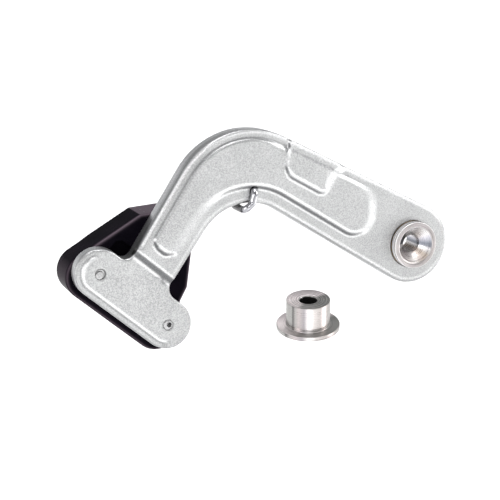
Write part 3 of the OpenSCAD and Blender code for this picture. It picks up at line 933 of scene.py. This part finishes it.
def make_shoe(material):
    """A block behind the foot with its edges rounded, less so towards the limb, and a pocket in front."""
    c = np.array([0, WEAR_END_R - WEAR_AT])
    wear = arc(c, WEAR_END_R, WEAR_START, 270) + arc(c + (PIN_GAP, 0), WEAR_END_R, 270, WEAR_STOP)
    outline = on_foot(wear + SHOE_CORNERS)
    pocket = on_foot(arc(POCKET_C, POCKET_R, 90, 180) + POCKET_CORNERS)
    low2, high2 = np.min(outline, 0) - 1, np.max(outline, 0) + 1
    low, high = (low2[0], REAR_Y - 1, low2[1]), (high2[0], SHOE_REAR_Y + 1, high2[1])

    def field(x, y, z):
        plane = columns(x, z)
        up_limb = ramp((plane @ ACROSS - PINS_AT - 3) / 6)
        radius = (SHOE_EDGE_R - SHOE_TOP_EDGE_LESS * up_limb)[:, None, :]
        side = distance(plane, outline)[:, None, :]
        block = rounded(side, np.maximum(REAR_Y - y, y - SHOE_REAR_Y), radius)
        hollow = np.maximum(distance(plane, pocket)[:, None, :], y - REAR_Y - POCKET_DEPTH)
        return np.maximum(block, -hollow)

    points, faces = contour(field, low, high, SHOE_STEP)
    shoe = add_object("sliding_shoe", points, faces, material, "swing_arm", "black_nylon", "shoe")
    # Painted sheen along the shoe's front edges.
    corner = np.maximum(-distance(points[:, [0, 2]], outline), points[:, 1] - REAR_Y)
    carry(shoe, "painted_sheen", bell(corner, SHEEN_W))


def make_pin(material, name, node, at, cuts):
    """A rivet pin, its front end upset in the foot and its rear head closed on a washer."""
    foot_y, rear = FRONT_Y + FOOT_DROP, SHOE_REAR_Y + WASHER_T
    half_head = PIN_HEAD_H / 2

    def field(x, y, z):
        u, w = x - at[0], z - at[1]
        across = np.hypot(u, w)
        past_head = y - rear - half_head
        end = foot_y + rounding(PIN_D / 2 - across, PIN_END_R) + pin_cuts(u, w, **cuts)
        shank = np.maximum(np.maximum(across - PIN_D / 2, end - y), past_head)
        head = rounded(across - PIN_HEAD_D / 2, np.abs(past_head) - half_head, PIN_HEAD_EDGE_R)
        return np.minimum(shank, head)

    reach, room = PIN_HEAD_D / 2 + 0.5, 0.5
    low = (at[0] - reach, foot_y - room, at[1] - reach)
    high = (at[0] + reach, rear + PIN_HEAD_H + room, at[1] + reach)
    points, faces = contour(field, low, high, PIN_STEP)
    add_object(name, points, faces, material, "swing_arm", "pin_steel", node)


def pin_cuts(u, w, boss_at, boss_r, hole_at, hole_r, hole_depth):
    """How deep a pin's end is cut: a groove left round an off-centre boss, and a hole in the boss."""
    boss = np.hypot(u - boss_at[0], w - boss_at[1]) - boss_r
    hole = np.hypot(u - hole_at[0], w - hole_at[1]) - hole_r
    wall = np.hypot(u, w) - (PIN_D / 2 - PIN_WALL)
    groove = ramp(boss / PIN_GROOVE_SLOPE) * (1 - ramp(wall / PIN_CUT_SLOPE))
    return PIN_GROOVE_DEPTH * groove + hole_depth * (1 - ramp(hole / PIN_CUT_SLOPE + 1))


def make_rivet_washers(material):
    """Both washers, behind the shoe, as one piece."""
    profile = [(PIN_D / 2, 0), (WASHER_D / 2, 0), (WASHER_D / 2, WASHER_T), (PIN_D / 2, WASHER_T)]
    points, faces = lathe(soft_corners(profile, WASHER_EDGE_R), WASHER_SIDES)
    points = points[:, [0, 2, 1]] * (1, 1, -1)
    both_points = np.concatenate([points + (p[0], SHOE_REAR_Y, p[1]) for p in (PIN_A, PIN_B)])
    both_faces = faces + [tuple(i + len(points) for i in face) for face in faces]
    add_object("rivet_washer_pair", both_points, both_faces, material, "swing_arm", "pin_steel",
               "rivet_washers")


# ---------------------------------------------------------------- turned pieces

SLEEVE_PLAY, SLEEVE_SET_BACK, SLEEVE_EDGE_R = 0.03, 0.7, 0.25
THRUST_PLAY, THRUST_EDGE_R = 0.1, 0.15
RING_STEP, RING_EDGE_R, RING_Y = 0.16, 0.12, GROOVE_Y + 0.05
RING_REACH, EAR_REACH = 10, 12
PIVOT_EDGE_R, BUSH_EDGE_R = 0.35, 0.3


def make_ring(name, node, material, body, slot, inner, outer, start, stop, soft):
    """A plain ring about the pivot axis, from start back to stop."""
    profile = [(inner, start), (outer, start), (outer, stop), (inner, stop)]
    points, faces = lathe(soft_corners(profile, soft))
    add_object(name, points, faces, material, body, slot, node, base=(0, 0, 0), axis=(0, 1, 0))


def make_retaining_ring(material):
    """A snap ring in the journal's groove, with its gap at the top and an eared end on each side of it."""
    def field(x, y, z):
        ear = np.hypot(np.abs(x) - EAR_AT[0], z - EAR_AT[1])
        flat = np.minimum(np.hypot(x, z) - RING_D / 2, ear - EAR_D / 2)
        flat = np.maximum(flat, np.maximum(GROOVE_D / 2 - np.hypot(x, z), EAR_HOLE_D / 2 - ear))
        flat = np.maximum(flat, np.minimum(RING_GAP / 2 - np.abs(x), z))
        return rounded(flat, np.abs(y - RING_Y - RING_T / 2) - RING_T / 2, RING_EDGE_R)

    low, high = (-RING_REACH, RING_Y - 0.5, -RING_REACH), (RING_REACH, RING_Y + RING_T + 0.6, EAR_REACH)
    points, faces = contour(field, low, high, RING_STEP)
    add_object("snap_ring", points, faces, material, "pivot", "ring_steel", "retaining_ring")


def make_pivot_bush(material):
    """Head and journal in one, with the screw's cone in front and the ring's groove at the back."""
    hole, cone, head, journal = SCREW_HOLE_D / 2, COUNTERSINK_D / 2, HEAD_D / 2, JOURNAL_D / 2
    front, groove_rear = HEAD_REAR_Y - HEAD_H, GROOVE_Y + GROOVE_W
    profile = [
        (hole, SEAT_Y), (journal, SEAT_Y), (journal, groove_rear), (GROOVE_D / 2, groove_rear),
        (GROOVE_D / 2, GROOVE_Y), (journal, GROOVE_Y), (journal, HEAD_REAR_Y), (head, HEAD_REAR_Y),
        (head, front), (cone, front), (hole, front + cone - hole)]
    points, faces = lathe(soft_corners(profile, PIVOT_EDGE_R))
    add_object("countersunk_pivot_bush", points, faces, material, "pivot", "turned_aluminium", "pivot_bush",
               base=(0, 0, 0), axis=(0, 1, 0))


def make_flanged_bush(material):
    """The loose bush, standing on its flange along the axis it is lifted by."""
    hole, body, flange = SCREW_HOLE_D / 2, BUSH_D / 2, BUSH_FLANGE_D / 2
    total = BUSH_FLANGE_T + BUSH_L
    profile = [
        (hole, BUSH_CHAMFER), (hole + BUSH_CHAMFER, 0), (flange, 0), (flange, BUSH_FLANGE_T),
        (body, BUSH_FLANGE_T), (body, total), (hole + BUSH_CHAMFER, total), (hole, total - BUSH_CHAMFER)]
    points, faces = lathe(soft_corners(profile, BUSH_EDGE_R))
    joint = next(j for j in frame["record"]["behaviour"]["joints"] if j["name"] == "bush_lift")
    axis = Vector(joint["axis"]).normalized()
    bore = next(m for m in frame["record"]["mounts"] if m["name"] == "bush_bore")
    base = Vector(bore["pos_m"]) / MM - axis * total / 2
    add_object("loose_flanged_bush", points, faces, material, "loose_bush", "turned_aluminium",
               "flanged_bush", base=base, axis=axis)


# ---------------------------------------------------------------- the spring

COIL_POINTS = 72
TANG_CORNER_R, HOOK_CORNER_R = 0.95 * WIRE_BEND_R, 0.8 * WIRE_BEND_R
TANG_STRAIGHT_END = 2.3
LEG_SETTLED = (6, -3.3)


def corner_arc(a, p, b, r, steps):
    """An arc of radius r in place of the corner at p."""
    a, p, b = (np.asarray(q, float) for q in (a, p, b))
    back, on = unit(a - p), unit(b - p)
    half = math.acos(back @ on) / 2
    c = p + unit(back + on) * r / math.sin(half)
    start, stop = unit(p + back * r / math.tan(half) - c), unit(p + on * r / math.tan(half) - c)
    turn = math.pi - 2 * half
    return [c + r * (math.sin((1 - t) * turn) * start + math.sin(t * turn) * stop) / math.sin(turn)
            for t in np.linspace(0, 1, steps)]


def straight(a, b, steps):
    """Points between two places, without the places themselves."""
    return [np.asarray(a) + t * (np.asarray(b) - np.asarray(a)) for t in np.linspace(0, 1, steps)[1:-1]]


def coil_points():
    """The coil from its rear end forward, leaving it on the line to the hook."""
    radius = COIL_D / 2
    leave = math.radians(heading(HOOK_REAR)) + math.acos(radius / math.hypot(*HOOK_REAR))
    coil = []
    for back in np.linspace(COIL_TURNS, 0, int(COIL_TURNS * COIL_POINTS) + 1):
        a = leave + 2 * math.pi * back
        coil.append(np.array([radius * math.cos(a), COIL_FRONT_Y + COIL_PITCH * back, radius * math.sin(a)]))
    return coil


def hook_points():
    """Corners of the hook: behind the limb, under the crook's edge, forward, and up into its hole."""
    settled = (HOOK_REAR[0] + LEG_SETTLED[0], HOOK_REAR[1] + LEG_SETTLED[1])
    corners = ((settled, LEG_Y), (HOOK_REAR, LEG_Y), (HOOK_UNDER, LEG_Y), (HOOK_UNDER, HOOK_Y),
               (HOOK_BEND, HOOK_Y), (HOOK_TIP, HOOK_Y), (HOOK_TIP, 0))
    return [np.array([x, y, z]) for (x, z), y in corners]


def make_spring(material):
    """One wire: rear tang, coil wound forward, leg behind the limb, and a hook round the crook's edge."""
    coil, hook = coil_points(), hook_points()
    corner = coil[0] - WIRE_BEND_R * unit(coil[1] - coil[0])
    tang = corner + np.array([0, TANG_L, 0])
    path = [tang] + straight(tang, corner + np.array([0, TANG_STRAIGHT_END, 0]), 4)
    path += corner_arc(tang, corner, coil[1], TANG_CORNER_R, 12) + coil[2:]
    path += straight(coil[-1], hook[0], 24)
    route = [coil[-1]] + hook
    for before, here, after in zip(route, route[1:], route[2:]):
        path += corner_arc(before, here, after, HOOK_CORNER_R, 10)
    path.append(hook[-1])
    points, faces = sweep(path, WIRE_D / 2)
    spring = add_object("spring_wire_coil", points, faces, material, None, "spring_wire", "torsion_spring")
    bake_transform(spring)


# ---------------------------------------------------------------- finish

make_camera()
make_studio()
make_floor()
make_arm(cast_aluminium())
make_shoe(black_nylon())
make_pivot_bush(turned_metal("turned_aluminium", TURNED_COLOUR, TURNED_ROUGHNESS, None, True,
                             PIVOT_SIDES, PIVOT_FACES))
make_flanged_bush(turned_metal("turned_aluminium_bush", BUSH_COLOUR, BUSH_ROUGHNESS, BUSH_BORE_SHADE, False,
                               BUSH_SIDES, BUSH_FACES))
make_spring(spring_wire())
steel = plain_metal("pin_steel", (0.4, 0.4, 0.4), 0.3, 0.4, 0.02)
make_pin(steel, "rivet_pin_upper", "shoe_pin_upper", PIN_A, UPPER_PIN_CUTS)
make_pin(steel, "rivet_pin_lower", "shoe_pin_lower", PIN_B, LOWER_PIN_CUTS)
make_rivet_washers(steel)
bronze = plain_metal("sleeve_bronze", (0.55, 0.38, 0.2), 0.4, 0.3, 0.03)
make_ring("sleeve_ring", "bearing_sleeve", bronze, "swing_arm", "sleeve_bronze",
          JOURNAL_D / 2 + SLEEVE_PLAY, SLEEVE_OD / 2, FRONT_Y + SLEEVE_SET_BACK, REAR_Y, SLEEVE_EDGE_R)
make_ring("thrust_ring", "thrust_washer", natural_nylon(), "pivot", "washer_nylon",
          JOURNAL_D / 2 + THRUST_PLAY, THRUST_WASHER_D / 2, THRUST_WASHER_Y,
          THRUST_WASHER_Y + THRUST_WASHER_T, THRUST_EDGE_R)
make_retaining_ring(plain_metal("ring_steel", (0.1, 0.1, 0.11), 0.45, 0.3, 0.02))
